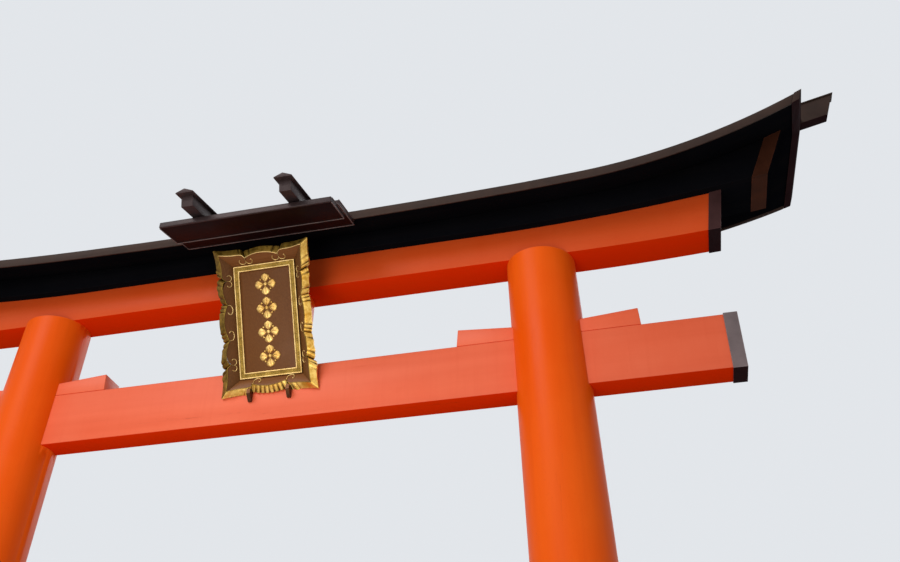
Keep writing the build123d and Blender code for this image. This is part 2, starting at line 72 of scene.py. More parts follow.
def make_camera():
    data = bpy.data.cameras.new("gate_camera")
    data.sensor_fit = "HORIZONTAL"
    data.sensor_width, data.lens = SENSOR_MM, LENS_MM
    camera = placed("gate_camera", data)
    aim = turn(CAMERA_TURN, "Z") @ turn(CAMERA_TILT, "X") @ turn(CAMERA_ROLL, "Y")
    upright = turn(math.radians(90), "X")
    camera.matrix_world = Matrix.Translation(CAMERA_PLACE) @ (aim @ upright).to_4x4()
    bpy.context.scene.camera = camera


make_camera()
bpy.context.scene.view_settings.view_transform = "Standard"
print("camera at", CAMERA_PLACE)

# %% [markdown]
# Several finishes share the same effects, so each effect is a node group that is
# built once: the grain of timber, weathering by rain and dust, and rubbed edges.
# Small helpers keep the making of nodes short.

# %% Helpers for node trees
def feed(tree, node, values):
    """Links or sets a node's sockets, by name or number. A colour is three levels."""
    for key, value in values.items():
        socket = node.inputs[key]
        if isinstance(value, bpy.types.NodeSocket):
            tree.links.new(value, socket)
        else:
            socket.default_value = (*value, 1) if socket.type == "RGBA" else value


def add(tree, kind, values=None, **settings):
    """Adds a node, with its settings and what its sockets are fed."""
    node = tree.nodes.new(kind)
    for key, value in settings.items():
        setattr(node, key, value)
    feed(tree, node, values or {})
    return node


def ramp(tree, source, stops):
    """A ramp on a value. The stops are places and grey levels."""
    node = add(tree, "ShaderNodeValToRGB", {"Fac": source})
    elements = node.color_ramp.elements
    while len(elements) < len(stops):
        elements.new(0.5)
    for element, (place, level) in zip(elements, stops):
        element.position = place
        element.color = (level, level, level, 1)
    return node.outputs["Color"]


def mix(tree, share, first, second):
    """Mixes two colours, each one a socket or a plain colour."""
    return add(tree, "ShaderNodeMix", {0: share, 6: first, 7: second}, data_type="RGBA").outputs[2]


def cover(tree, tone, colour, mask, share, start=0.0, end=1.0):
    """Lays a colour over a tone, by up to the share as the mask goes from start to end."""
    return mix(tree, ramp(tree, mask, [(start, 0.0), (end, share)]), tone, colour)


def maths(tree, operation, *values):
    """One step of arithmetic on sockets or numbers."""
    return add(tree, "ShaderNodeMath", dict(enumerate(values)), operation=operation).outputs[0]


def noise(tree, vector, scale, detail=4.0, roughness=0.55):
    values = {"Vector": vector, "Scale": scale, "Detail": detail, "Roughness": roughness}
    return add(tree, "ShaderNodeTexNoise", values).outputs["Fac"]


def mapped(tree, vector, **values):
    """The same coordinates, turned, or squeezed and stretched along each axis."""
    return add(tree, "ShaderNodeMapping", {"Vector": vector, **values}).outputs["Vector"]


def new_group(name, inputs, outputs):
    """A node group with its sockets, what comes in and the node that puts out."""
    tree = bpy.data.node_groups.new(name, "ShaderNodeTree")
    for label, kind in inputs.items():
        tree.interface.new_socket(label, in_out="INPUT", socket_type="NodeSocket" + kind)
    for label in outputs:
        tree.interface.new_socket(label, in_out="OUTPUT", socket_type="NodeSocketFloat")
    return tree, tree.nodes.new("NodeGroupInput").outputs, tree.nodes.new("NodeGroupOutput")


print("helpers: feed, add, ramp, mix, cover, maths, noise, mapped, new_group")

# %% [markdown]
# Painted timber still shows a little of its grain: fine lines along the length, a
# slow figure, and here and there a thin drying crack. All three are noise that is
# stretched along X, so a material turns its coordinates before they come in.

# %% The grain group
def build_grain():
    tree, start, end = new_group("timber_grain", {"Vector": "Vector"}, ("Grain", "Figure", "Crack"))
    vector = start["Vector"]
    fine = noise(tree, mapped(tree, vector, Scale=(1.6, 70, 70)), 3.0, 6.0, 0.65)
    slow = noise(tree, mapped(tree, vector, Scale=(0.35, 6, 6)), 2.0, 3.0, 0.5)
    split = noise(tree, mapped(tree, vector, Scale=(0.5, 16, 16)), 2.4, 5.0, 0.5)
    line = maths(tree, "ABSOLUTE", maths(tree, "SUBTRACT", split, 0.5))
    narrow = ramp(tree, line, [(0.0, 1.0), (0.004, 0.0)])
    chosen = ramp(tree, slow, [(0.6, 0.0), (0.68, 1.0)])
    crack = maths(tree, "MULTIPLY", narrow, chosen)
    feed(tree, end, {"Grain": fine, "Figure": slow, "Crack": crack})
    return tree


GRAIN = build_grain()
print("nodes in the grain:", len(GRAIN.nodes))

# %% [markdown]
# Weather leaves soft patches, small specks, thin runs down the upright faces and
# dust on what faces up. The dust is found from the normal's Z, which is fixed to the
# object and not to the viewer.

# %% The weathering group
def build_weather():
    outputs = ("Patches", "Specks", "Runs", "Dust")
    tree, start, end = new_group("weathering", {"Vector": "Vector"}, outputs)
    vector = start["Vector"]
    patches = noise(tree, vector, 1.7, 5.0, 0.6)
    specks = ramp(tree, noise(tree, vector, 95.0, 3.0, 0.6), [(0.66, 0.0), (0.74, 1.0)])
    falls = noise(tree, mapped(tree, vector, Scale=(14, 14, 0.7)), 2.0, 5.0, 0.6)
    runs = ramp(tree, falls, [(0.5, 0.0), (0.75, 1.0)])
    geometry = add(tree, "ShaderNodeNewGeometry")
    parts = add(tree, "ShaderNodeSeparateXYZ", {0: geometry.outputs["Normal"]})
    up = ramp(tree, parts.outputs["Z"], [(0.55, 0.0), (0.95, 1.0)])
    settled = ramp(tree, noise(tree, vector, 11.0), [(0.3, 0.3), (0.7, 1.0)])
    dust = maths(tree, "MULTIPLY", up, settled)
    feed(tree, end, {"Patches": patches, "Specks": specks, "Runs": runs, "Dust": dust})
    return tree


WEATHER = build_weather()
print("nodes in the weathering:", len(WEATHER.nodes))

# %% [markdown]
# Where an edge is touched by wind and hands, the finish is thin and catches light. The
# Bevel node gives the normal that a rounded edge would have. Where that differs from
# the true normal, there is an edge.

# %% The rubbed edges group
def build_edges():
    tree, start, end = new_group("rubbed_edges", {"Radius": "Float", "Vector": "Vector"}, ("Edge",))
    bevel = add(tree, "ShaderNodeBevel", {"Radius": start["Radius"]}, samples=4)
    geometry = add(tree, "ShaderNodeNewGeometry")
    normals = {0: bevel.outputs[0], 1: geometry.outputs["Normal"]}
    dot = add(tree, "ShaderNodeVectorMath", normals, operation="DOT_PRODUCT")
    away = maths(tree, "SUBTRACT", 1.0, dot.outputs["Value"])
    mask = ramp(tree, away, [(0.03, 0.0), (0.25, 1.0)])
    broken = ramp(tree, noise(tree, start["Vector"], 26.0, 5.0, 0.65), [(0.4, 0.25), (0.62, 1.0)])
    feed(tree, end, {"Edge": maths(tree, "MULTIPLY", mask, broken)})
    return tree


EDGES = build_edges()
print("shared effects:", [group.name for group in bpy.data.node_groups])

# %% [markdown]
# A material starts the same way each time, with a shader and the object's own
# coordinates, and ends with a colour, a roughness and a bump for the shader.

# %% Starting and finishing a material
def start_material(name, **sockets):
    material = bpy.data.materials.new(name)
    material.use_nodes = True
    tree = material.node_tree
    shader = tree.nodes["Principled BSDF"]
    feed(tree, shader, {key.replace("_", " "): value for key, value in sockets.items()})
    place = add(tree, "ShaderNodeTexCoord").outputs["Object"]
    return material, tree, shader, place


def effect(tree, group, vector, **values):
    """What a shared effect puts out at the coordinates."""
    return add(tree, "ShaderNodeGroup", {"Vector": vector, **values}, node_tree=group).outputs


def finish(tree, shader, colour, roughness, height, distance, strength):
    values = {"Height": height, "Distance": distance, "Strength": strength}
    relief = add(tree, "ShaderNodeBump", values).outputs["Normal"]
    feed(tree, shader, {"Base Color": colour, "Roughness": roughness, "Normal": relief})


def family(make, prefix, table):
    """One material for each row of a table."""
    made = {name: make(prefix + name, *values) for name, values in table.items()}
    print("made:", [material.name for material in made.values()])
    return made


print("helpers: start_material, effect, finish, family")

# %% [markdown]
# Vermilion lacquer is a strong orange-red, smooth enough to mirror the sky as a pale
# haze. The tie beam's lacquer is a paler copy, painted sunlight, and the lintel's a
# darker one, painted shade from the eave. The faces under the beams take a deeper red
# copy that fades less and has no haze: painted shade. The posts' grain runs up and the
# beams' grain runs across, so the function takes the turn that lays the grain along X.

# %% Vermilion lacquer
ALONG, UPRIGHT = (0.0, 0.0, 0.0), (0.0, math.radians(90), 0.0)
LACQUERS = {  # turn of the grain, colour, shine, and how far it fades
    "post": (UPRIGHT, (0.84, 0.094, 0.002), 0.09, 1.0),
    # painted sunlight: a paler copy of the lacquer
    "tie_beam": (ALONG, (0.80, 0.128, 0.052), 0.2, 1.0),     # out in the sun, and paler for it
    # painted shade of the eave: a darker copy of the lacquer
    "lintel": (ALONG, (0.66, 0.072, 0.010), 0.14, 1.0),      # in the eave's shade
    # painted shade: a deeper red copy for the faces that look down
    "undersides": (ALONG, (0.74, 0.028, 0.0006), 0.0, 0.3),
}
DEEP_VERMILION, RAIN_DARK = (0.60, 0.045, 0.002), (0.34, 0.030, 0.006)
RUBBED_VERMILION, DUSTY_VERMILION = (0.85, 0.15, 0.05), (0.32, 0.2, 0.13)


def make_vermilion(name, spin, colour, shine, fading):
    material, tree, shader, place = start_material(name, IOR=1.5, Specular_IOR_Level=shine)
    red, green, blue = colour
    palest = (min(0.88, 1.06 * red), 1.4 * green, 1.6 * blue + 0.004)
    faded = tuple(level + fading * (more - level) for level, more in zip(colour, palest))
    grain = effect(tree, GRAIN, mapped(tree, place, Rotation=spin))
    weather = effect(tree, WEATHER, place)
    edges = effect(tree, EDGES, place, Radius=0.005)
    tone = cover(tree, colour, faded, weather["Patches"], 0.5, 0.35, 0.7)
    tone = cover(tree, tone, DEEP_VERMILION, grain["Figure"], 0.22, 0.4, 0.75)
    tone = cover(tree, tone, DEEP_VERMILION, weather["Runs"], 0.10)
    tone = cover(tree, tone, RAIN_DARK, grain["Crack"], 0.55)
    tone = cover(tree, tone, RAIN_DARK, weather["Specks"], 0.18)
    tone = cover(tree, tone, RUBBED_VERMILION, edges["Edge"], 0.35)
    tone = cover(tree, tone, DUSTY_VERMILION, weather["Dust"], 0.3)
    rough = ramp(tree, weather["Patches"], [(0.3, 0.34), (0.7, 0.48)])
    height = maths(tree, "SUBTRACT", maths(tree, "MULTIPLY", grain["Grain"], 0.35), grain["Crack"])
    finish(tree, shader, tone, rough, height, 0.0012, 0.5)
    return material


lacquer = family(make_vermilion, "vermilion_", LACQUERS)

# %% [markdown]
# The upper lintel is painted black. Black paint is never quite black: it greys where it
# is thin. Out of doors it soon loses its shine, while oiled iron keeps some. One flat
# colour would look like a hole in the picture, so the shared effects vary it a little.

# %% Black paint
BLACK, GREYED_BLACK = (0.0028, 0.0028, 0.004), (0.006, 0.006, 0.0075)
BROWNED_BLACK = (0.009, 0.007, 0.007)
RUBBED_BLACK, DUSTY_BLACK = (0.03, 0.022, 0.018), (0.09, 0.08, 0.07)


def make_black(name, roughness, shine):
    material, tree, shader, place = start_material(name, IOR=1.48, Specular_IOR_Level=shine)
    grain = effect(tree, GRAIN, place)
    weather = effect(tree, WEATHER, place)
    edges = effect(tree, EDGES, place, Radius=0.004)
    tone = cover(tree, BLACK, GREYED_BLACK, weather["Patches"], 0.6, 0.35, 0.7)
    tone = cover(tree, tone, BROWNED_BLACK, grain["Figure"], 0.4, 0.5, 0.8)
    tone = cover(tree, tone, RUBBED_BLACK, edges["Edge"], 0.4)
    tone = cover(tree, tone, DUSTY_BLACK, weather["Dust"], 0.4)
    rough = ramp(tree, weather["Patches"], [(0.3, roughness), (0.7, roughness + 0.14)])
    finish(tree, shader, tone, rough, grain["Grain"], 0.0008, 0.4)
    return material


black_paint = make_black("black_paint", 0.6, 0.0)
iron = make_black("dark_iron", 0.42, 0.15)
print("blacks:", black_paint.name, iron.name)

# %% [markdown]
# Copper sheet goes brown in a few years, with purple and grey in it. It is a metal under
# a thin dull skin, so it is only partly metallic. One function makes the roof's, the caps'
# and the hood's copper in their own tones. Some tones are lit and shaded copies: darker
# ones paint the shade under the eaves and on faces that look down, and lighter ones paint
# the light on the tie's caps and on the hood's folded edges.

# %% Aged copper
GREEN_DUST = (0.13, 0.2, 0.16)
COPPERS = {  # dark and light tone, green in the dust, roughness, metal and shine
    "roof": ((0.028, 0.015, 0.011), (0.054, 0.030, 0.022), 0.25, 0.55, 0.25, 0.2),
    # a lighter, greyer copy: the caps' own grey, made lighter by painted sunlight
    "tie_caps": ((0.12, 0.090, 0.092), (0.21, 0.160, 0.160), 0.2, 0.55, 0.25, 0.3),
    # painted shade of the eave: a darker copy
    "lintel_caps": ((0.034, 0.012, 0.012), (0.066, 0.026, 0.025), 0.2, 0.55, 0.2, 0.15),
    "core_caps": ((0.036, 0.010, 0.004), (0.070, 0.020, 0.009), 0.2, 0.6, 0.1, 0.08),
    # painted shade: a darker copy for the faces that look down
    "cap_undersides": ((0.014, 0.005, 0.006), (0.028, 0.011, 0.012), 0.0, 0.65, 0.05, 0.02),
    "hood": ((0.030, 0.018, 0.018), (0.056, 0.034, 0.034), 0.15, 0.38, 0.3, 0.3),
    # painted shade: a darker copy of the hood's copper for its undersides
    "soffit": ((0.0075, 0.0018, 0.0018), (0.015, 0.0036, 0.0034), 0.1, 0.4, 0.1, 0.08),
    # painted highlight: a lighter copper for the hood's folded edges
    "trim": ((0.11, 0.085, 0.08), (0.19, 0.15, 0.145), 0.1, 0.4, 0.4, 0.3),
}


def make_copper(name, dark, light, green, roughness, metal, shine):
    material, tree, shader, place = start_material(
        name, Metallic=metal, IOR=1.5, Specular_IOR_Level=shine)
    weather = effect(tree, WEATHER, place)
    edges = effect(tree, EDGES, place, Radius=0.006)
    cloud = noise(tree, place, 6.5, 7.0, 0.62)
    rubbed = tuple(min(1.0, 2.4 * level) for level in light)
    tone = cover(tree, dark, light, cloud, 1.0, 0.3, 0.7)
    tone = cover(tree, tone, dark, weather["Runs"], 0.35)
    tone = cover(tree, tone, GREEN_DUST, weather["Dust"], green)
    tone = cover(tree, tone, light, weather["Specks"], 0.3)
    tone = cover(tree, tone, rubbed, edges["Edge"], 0.7)
    rough = ramp(tree, cloud, [(0.3, roughness), (0.7, roughness + 0.16)])
    dents = maths(tree, "ADD", noise(tree, place, 9.0, 3.0), maths(tree, "MULTIPLY", cloud, 0.4))
    finish(tree, shader, tone, rough, dents, 0.003, 0.35)
    return material


copper = family(make_copper, "copper_", COPPERS)

# %% [markdown]
# The tablet's boards are lacquered brown, with the grain just showing. A picture of
# wood could be laid on them, but stretched noise fits any board and never repeats.

# %% Brown lacquer
BROWNS = {  # turn of the grain, dark and light tone
    "board_upright": (UPRIGHT, (0.105, 0.038, 0.009), (0.160, 0.062, 0.016)),
    "board_across": (ALONG, (0.160, 0.052, 0.012), (0.220, 0.082, 0.023)),
    "panel": (UPRIGHT, (0.125, 0.043, 0.011), (0.178, 0.066, 0.017)),
}
RUBBED_BROWN, DUSTY_BROWN = (0.3, 0.15, 0.06), (0.25, 0.2, 0.14)


def make_brown(name, spin, dark, light):
    material, tree, shader, place = start_material(name, IOR=1.5, Specular_IOR_Level=0.15)
    grain = effect(tree, GRAIN, mapped(tree, place, Rotation=spin))
    weather = effect(tree, WEATHER, place)
    edges = effect(tree, EDGES, place, Radius=0.003)
    tone = cover(tree, dark, light, grain["Grain"], 1.0, 0.35, 0.7)
    tone = cover(tree, tone, light, weather["Patches"], 0.5, 0.4, 0.7)
    tone = cover(tree, tone, RUBBED_BROWN, edges["Edge"], 0.4)
    tone = cover(tree, tone, DUSTY_BROWN, weather["Dust"], 0.4)
    rough = ramp(tree, grain["Figure"], [(0.3, 0.36), (0.7, 0.52)])
    finish(tree, shader, tone, rough, grain["Grain"], 0.0006, 0.5)
    return material


brown = family(make_brown, "brown_", BROWNS)

# %% [markdown]
# The rim and the mouldings are gilded: leaf over lacquer, brown where it is worn. So
# brown is mixed over the leaf by noise. The hollows and the deep cuts are darkened by how
# deep a place is: painted shade.

# %% Gilding
# Of these browns, the one for the hollows and the one for the grooves are painted shade.
BARE_BROWN, HOLLOW_SHADE = (0.14, 0.075, 0.02), (0.09, 0.05, 0.012)
GROOVE_SHADE, DUSTY_GILT = (0.075, 0.034, 0.006), (0.14, 0.12, 0.05)
# The darkening of the grooves is painted shade.
GILDINGS = {  # dark and light tone, wear, and how much the grooves are darkened
    # the lit copy of the rim's gilding: painted light
    "rim": ((0.66, 0.34, 0.040), (0.98, 0.67, 0.18), 0.0, 0.95),
    # the shaded copy of the rim's gilding: painted shade
    "aged": ((0.16, 0.088, 0.010), (0.34, 0.20, 0.030), 0.05, 0.85),
    "lines": ((0.70, 0.44, 0.14), (0.90, 0.65, 0.27), -0.1),
    # The band's gilding also serves the line on the sides, where its darkness is painted shade.
    "band": ((0.18, 0.105, 0.016), (0.38, 0.24, 0.042), 0.04),
    "studs": ((0.50, 0.30, 0.060), (0.80, 0.53, 0.14), 0.04),
    "flowers": ((0.60, 0.34, 0.080), (0.84, 0.56, 0.19), 0.03),
}


def make_gilt(name, dark, light, worn, groove=0.0):
    material, tree, shader, place = start_material(name, Metallic=0.8, IOR=1.5)
    weather = effect(tree, WEATHER, place)
    wear = noise(tree, place, 60.0, 6.0, 0.6)
    broad = noise(tree, place, 13.0, 3.0, 0.5)
    blend = maths(tree, "MULTIPLY", maths(tree, "ADD", wear, broad), 0.5)
    tone = cover(tree, dark, light, blend, 1.0, 0.4, 0.6)
    bare = noise(tree, place, 34.0, 6.0, 0.65)
    tone = cover(tree, tone, BARE_BROWN, bare, 0.7, 0.70 - worn, 0.82 - worn)
    # Where ambient occlusion finds a hollow, the gilding is darkened: painted shade.
    occlusion = add(tree, "ShaderNodeAmbientOcclusion", {"Distance": 0.012}, samples=6)
    hollow_shade = ramp(tree, occlusion.outputs["AO"], [(0.35, 0.75), (0.8, 0.0)])
    tone = mix(tree, hollow_shade, tone, HOLLOW_SHADE)
    # Where the rim is cut deep, the gilding is darkened: painted shade in the grooves.
    if groove:
        cut = add(tree, "ShaderNodeAttribute", attribute_name="groove").outputs["Fac"]
        flank = ramp(tree, cut, [(0.08, 0.0), (0.45, 0.6 * groove), (0.8, groove)])
        tone = mix(tree, flank, tone, GROOVE_SHADE)
    tone = cover(tree, tone, DUSTY_GILT, weather["Dust"], 0.5)
    rough = ramp(tree, wear, [(0.3, 0.32), (0.7, 0.52)])
    finish(tree, shader, tone, rough, wear, 0.0012, 0.4)
    return material


gilt = family(make_gilt, "gilding_", GILDINGS)
bracket_bronze = make_gilt("bracket_bronze", (0.066, 0.024, 0.009), (0.12, 0.046, 0.017), 0.1)

# %% [markdown]
# Now the solids. Sawn and planed timber never has a razor edge, and a real edge shows
# as a fine line of light. Each solid with sharp edges is copied, its doubled points
# merged, and its edges eased with the Bevel modifier. The copy stands for the solid.

# %% Easing the edges
WELD = 0.00005
FLAT = math.radians(0.5)


def select_none():
    bpy.ops.object.select_all(action="DESELECT")


def alone(piece):
    """Selects one piece and nothing else."""
    select_none()
    piece.select_set(True)
    bpy.context.view_layer.objects.active = piece


def smooth(piece, degrees=32):
    alone(piece)
    bpy.ops.object.shade_smooth_by_angle(angle=math.radians(degrees))


def ease(piece, width, degrees):
    """Rounds the edges that turn by more than the angle."""
    bevel = piece.modifiers.new("eased", "BEVEL")
    bevel.width, bevel.segments = width, 2
    bevel.limit_method = "ANGLE"
    bevel.angle_limit = math.radians(degrees)
    alone(piece)
    bpy.ops.object.modifier_apply(modifier=bevel.name)


def dress(piece, material):
    """Gives a new piece its one material and its body."""
    piece.data.materials.clear()
    piece.data.materials.append(material)
    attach(piece, "root")
    return piece


def eased_copy(name, width):
    """A copy of a solid with its edges rounded by width, in metres."""
    piece = placed(name + "_eased", nodes[name].data.copy())
    alone(piece)
    bpy.ops.object.mode_set(mode="EDIT")
    bpy.ops.mesh.select_all(action="SELECT")
    bpy.ops.mesh.remove_doubles(threshold=WELD)
    bpy.ops.mesh.dissolve_limited(angle_limit=FLAT)
    bpy.ops.object.mode_set(mode="OBJECT")
    if width:
        ease(piece, width, 38)
    smooth(piece)
    return piece


def second_finish(piece, material, test):
    """Gives the faces whose normal passes the test another material."""
    piece.data.materials.append(material)
    for face in piece.data.polygons:
        if test(face.normal):
            face.material_index = len(piece.data.materials) - 1


TIMBERS = {
    "post_left": (0.0, "post"), "post_right": (0.0, "post"),
    "tie_beam": (0.005, "tie_beam"), "lower_lintel": (0.005, "lintel"),
    "centre_strut": (0.004, "post"),
    "left_post_outer_wedge": (0.003, "tie_beam"), "left_post_inner_wedge": (0.003, "tie_beam"),
    "right_post_outer_wedge": (0.003, "tie_beam"), "right_post_inner_wedge": (0.003, "tie_beam"),
}
UNDERSIDE_NORMAL = -0.6  # faces that look down more than this are under a timber
for name, (width, finish_name) in TIMBERS.items():
    timber = eased_copy(name, width)
    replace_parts(dress(timber, lacquer[finish_name]), name)
    # The faces that look down take the deeper red copy of the lacquer: painted shade.
    second_finish(timber, lacquer["undersides"], lambda normal: normal.z < UNDERSIDE_NORMAL)
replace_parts(dress(eased_copy("upper_lintel", 0.004), black_paint), "upper_lintel")
print("timbers eased:", len(TIMBERS) + 1)

# %% [markdown]
# Copper is bent over the roof and the hood in sheets a few tenths of a millimetre
# thick, so its corners are tight but still round, and they glint. Each sheet could be
# modelled, but its thickness hardly shows, so eased copies of the solids serve again.

# %% Roof, hood and caps
ROOF_PIECES = ("roof_front", "roof_back", "eave_fascia_front", "eave_fascia_back", "verge_left",
               "verge_right", "ridge_box", "ridge_end_left", "ridge_end_right", "ridge_cover")
HOOD_PIECES = ("hood_lower_sheet", "hood_upper_sheet", "hood_fascia", "hood_beam_left",
               "hood_beam_right", "hood_beam_cap_left", "hood_beam_cap_right")
# The tie's caps take a lighter copy of the copper and the lower lintel's a darker one: painted
# sunlight and painted shade.
CAPS = {"tie_cap": "tie_caps", "lower_lintel_cap": "lintel_caps", "upper_lintel_cap": "core_caps"}
SOFFIT_NORMAL = -0.3  # faces that look down more than this are under the roof or hood
END_NORMAL = 0.8  # past this a cap's face looks nearly straight along the axis

for name in ROOF_PIECES:
    eased = eased_copy(name, 0.002 if name == "ridge_cover" else 0.0035)
    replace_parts(dress(eased, copper["roof"]), name)
    if name.startswith("roof"):
        second_finish(eased, black_paint, lambda normal: normal.z < SOFFIT_NORMAL)
    # The verges' and the ridge ends' undersides take the darker cap copper: painted shade.
    if name.startswith(("verge", "ridge_end")):
        second_finish(eased, copper["cap_undersides"], lambda normal: normal.z < SOFFIT_NORMAL)
for name in HOOD_PIECES:
    eased = eased_copy(name, 0.002 if "cap" in name else 0.003)
    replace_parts(dress(eased, copper["hood"]), name)
    # The sheets' undersides take the darker soffit copper: painted shade.
    if name.endswith("sheet"):
        second_finish(eased, copper["soffit"], lambda normal: normal.z < SOFFIT_NORMAL)
for stem, tone in CAPS.items():
    for name in (stem + "_left", stem + "_right"):
        shoe = eased_copy(name, 0.0)
        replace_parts(dress(shoe, copper[tone]), name)
        if stem.startswith("upper"):
            second_finish(shoe, black_paint, lambda normal: abs(normal.x) > END_NORMAL)
        # The tie's and the lower lintel's caps take the darker copper on their undersides: painted
        # shade.
        else:
            second_finish(shoe, copper["cap_undersides"], lambda normal: normal.z < -END_NORMAL)
for name, material in (("foot_collar_left", black_paint), ("foot_collar_right", black_paint),
                       ("tablet_brackets", bracket_bronze), ("tablet_stays", iron)):
    nodes[name].data.materials.clear()
    nodes[name].data.materials.append(material)
print("copper pieces:", len(ROOF_PIECES) + len(HOOD_PIECES) + 2 * len(CAPS))

# %% [markdown]
# The hood's two sheets are lapped, and each has a folded edge that shows as a thin light
# line. The folds are given a lighter copper than the hood's: a painted highlight. A fold
# is a slim bar: a cube at its place, stretched between two points, with its edges
# bevelled. The same bar serves as a seam on the roof.

# %% Folded edges
HOOD_FRONT, HOOD_LEVEL, HOOD_SLOPE = 0.676, 4.819, 0.24
HOOD_SHEET = 0.030  # thickness
HOOD_SHEETS = (  # how far the front and back are in front, half length and lift
    (HOOD_FRONT, 0.478, 0.495, 0.0), (0.600, 0.340, 0.503, HOOD_SHEET))
FOLD = 0.006


def bar(start, end, width, height):
    """A slim bar from start to end, with upright sides."""
    start, end = Vector(start), Vector(end)
    along = (end - start).normalized()
    across = Vector((0, 0, 1)).cross(along).normalized()
    spin = Matrix((along, across, along.cross(across))).transposed()
    select_none()
    bpy.ops.mesh.primitive_cube_add(size=1)
    piece = bpy.context.object
    piece.scale = ((end - start).length, width, height)
    bpy.ops.object.transform_apply()
    bpy.ops.object.mode_set(mode="EDIT")
    bpy.ops.mesh.select_all(action="SELECT")
    bpy.ops.mesh.bevel(offset=0.3 * min(width, height), segments=2, affect="EDGES")
    bpy.ops.object.mode_set(mode="OBJECT")
    piece.matrix_world = Matrix.Translation((start + end) / 2) @ spin.to_4x4()
    bpy.ops.object.transform_apply()
    smooth(piece)
    return piece


def joined(pieces, name):
    """Several pieces made one."""
    select_none()
    for piece in pieces:
        piece.select_set(True)
    bpy.context.view_layer.objects.active = pieces[0]
    bpy.ops.object.join()
    pieces[0].name = name
    return pieces[0]


def hood_z(y):
    """The underside of the lower sheet, y being how far it is in front."""
    return HOOD_LEVEL + HOOD_SLOPE * (HOOD_FRONT - y)


def hood_folds():
    bars = []
    for front, back, half, lift in HOOD_SHEETS:
        z = hood_z(back) + lift
        ends = (MIDDLE_X - half, MIDDLE_X + half)
        bars.append(bar((ends[0], -back, z), (ends[1], -back, z), FOLD, FOLD))
        for x in ends:
            for level in (0.0, HOOD_SHEET):
                bars.append(bar((x, -front, hood_z(front) + lift + level),
                                (x, -back, z + level), FOLD, FOLD))
    return joined(bars, "hood_folded_edges")


# The folds' lighter copper is a painted highlight.
dress(hood_folds(), copper["trim"])
print("hood edges folded")

# %% [markdown]
# The roof's sheets meet in standing seams that run up the slope. They are evenly
# spaced, and each one is as long as the roof is deep at its place, because the eaves
# come forward towards the ends. The same curves as the roof's own give their levels.

# %% Roof seams
SEAM_STEP, SEAM_WIDTH, SEAM_HEIGHT = 0.42, 0.014, 0.010
SEAM_REACH = 2.85  # the last seams are within this of the middle
SEAM_TOP, SEAM_GAP = 0.036, 0.055  # from the ridge, and short of the eave
EAVE_RISE = ((0.300, 29.3), (1.786, 3.33))  # where each arc starts and its radius
EAVE_DEPTH, EAVE_FORWARD = 0.372, (1.4, 16.5)  # at the middle, and the arc towards the ends
ROOF_SLOPE, ROOF_LEVEL, LEVEL_DEPTH = 0.33, 4.978, 0.446  # the level at that depth


def arc_rise(x, start, radius):
    """How far an arc that starts at a distance from the middle has risen at x."""
    reach = max(0.0, abs(x) - start)
    return radius - math.sqrt(radius ** 2 - reach ** 2)


def eave_rise(x):
    """How far the eaves have curved up at x from the middle."""
    reach = abs(x)
    (start, radius), (next_start, next_radius) = EAVE_RISE
    if reach <= next_start:
        return arc_rise(reach, start, radius)
    side = next_radius * (next_start - start) / radius
    run = reach - (next_start - side)
    climb = math.sqrt(next_radius ** 2 - side ** 2) - math.sqrt(next_radius ** 2 - run ** 2)
    return arc_rise(next_start, start, radius) + climb


def roof_point(x, depth):
    """The middle of a seam on the roof, depth being how far it is from the ridge."""
    z = ROOF_LEVEL + eave_rise(x) + ROOF_SLOPE * (LEVEL_DEPTH - abs(depth)) + 0.5 * SEAM_HEIGHT
    return (MIDDLE_X + x, depth, z)


def roof_seams(name, side):
    bars = []
    count = int(SEAM_REACH / SEAM_STEP)
    for number in range(-count, count + 1):
        x = number * SEAM_STEP
        edge = EAVE_DEPTH + arc_rise(x, *EAVE_FORWARD) - SEAM_GAP
        bars.append(bar(roof_point(x, side * SEAM_TOP), roof_point(x, side * edge),
                        SEAM_WIDTH, SEAM_HEIGHT))
    return joined(bars, name)


for name, side in (("roof_seams_front", -1), ("roof_seams_back", 1)):
    dress(roof_seams(name, side), copper["roof"])
print("roof seams laid")

# %% [markdown]
# The tablet is carved work, drawn here lying flat: X across, Y up the board and Z out of
# its face. When a piece is finished, one matrix leans it forward into its place.

# %% The tablet's place and outline
TABLET_LEAN = math.radians(26.4)
FACE = Vector((0, -math.cos(TABLET_LEAN), -math.sin(TABLET_LEAN)))
UP_BOARD = Vector((0, -math.sin(TABLET_LEAN), math.cos(TABLET_LEAN)))
TABLET = (Matrix.Translation((MIDDLE_X, -0.035, 3.900))
          @ Matrix(((1, 0, 0), UP_BOARD, FACE)).transposed().to_4x4())

TABLET_HALF, TABLET_FOOT, TABLET_HEAD = 0.279, 0.156, 0.985
MOULD_HALF, MOULD_FOOT, MOULD_HEAD = 0.180, 0.253, 0.884
PANEL_Z, CREST_Z = -0.068, -0.008
RIM_WIDTH = 0.036
SIDE_NOTCHES, END_NOTCHES = (0.19, 0.37, 0.63, 0.81), (0.3, 0.7)
NOTCHES = (SIDE_NOTCHES, END_NOTCHES) * 2  # right, top, left, bottom
NOTCH_DEPTH, LOBE_SWELL, TIP_HOLLOW = 0.028, 0.018, 0.007
HOOKED_LOBES = {1: 0.34, 3: 0.66}  # side lobes that bulge most near one end


def tablet_edges(inset):
    """The right, top, left and bottom edge: two ends, the direction along and inward."""
    half, foot, head = TABLET_HALF - inset, TABLET_FOOT + inset, TABLET_HEAD - inset
    corners = [Vector(corner) for corner in (
        (half, foot), (half, head), (-half, head), (-half, foot), (half, foot))]
    edges = []
    for start, end in zip(corners, corners[1:]):
        along = (end - start).normalized()
        edges.append((start, end, along, Vector((-along.y, along.x))))
    return edges


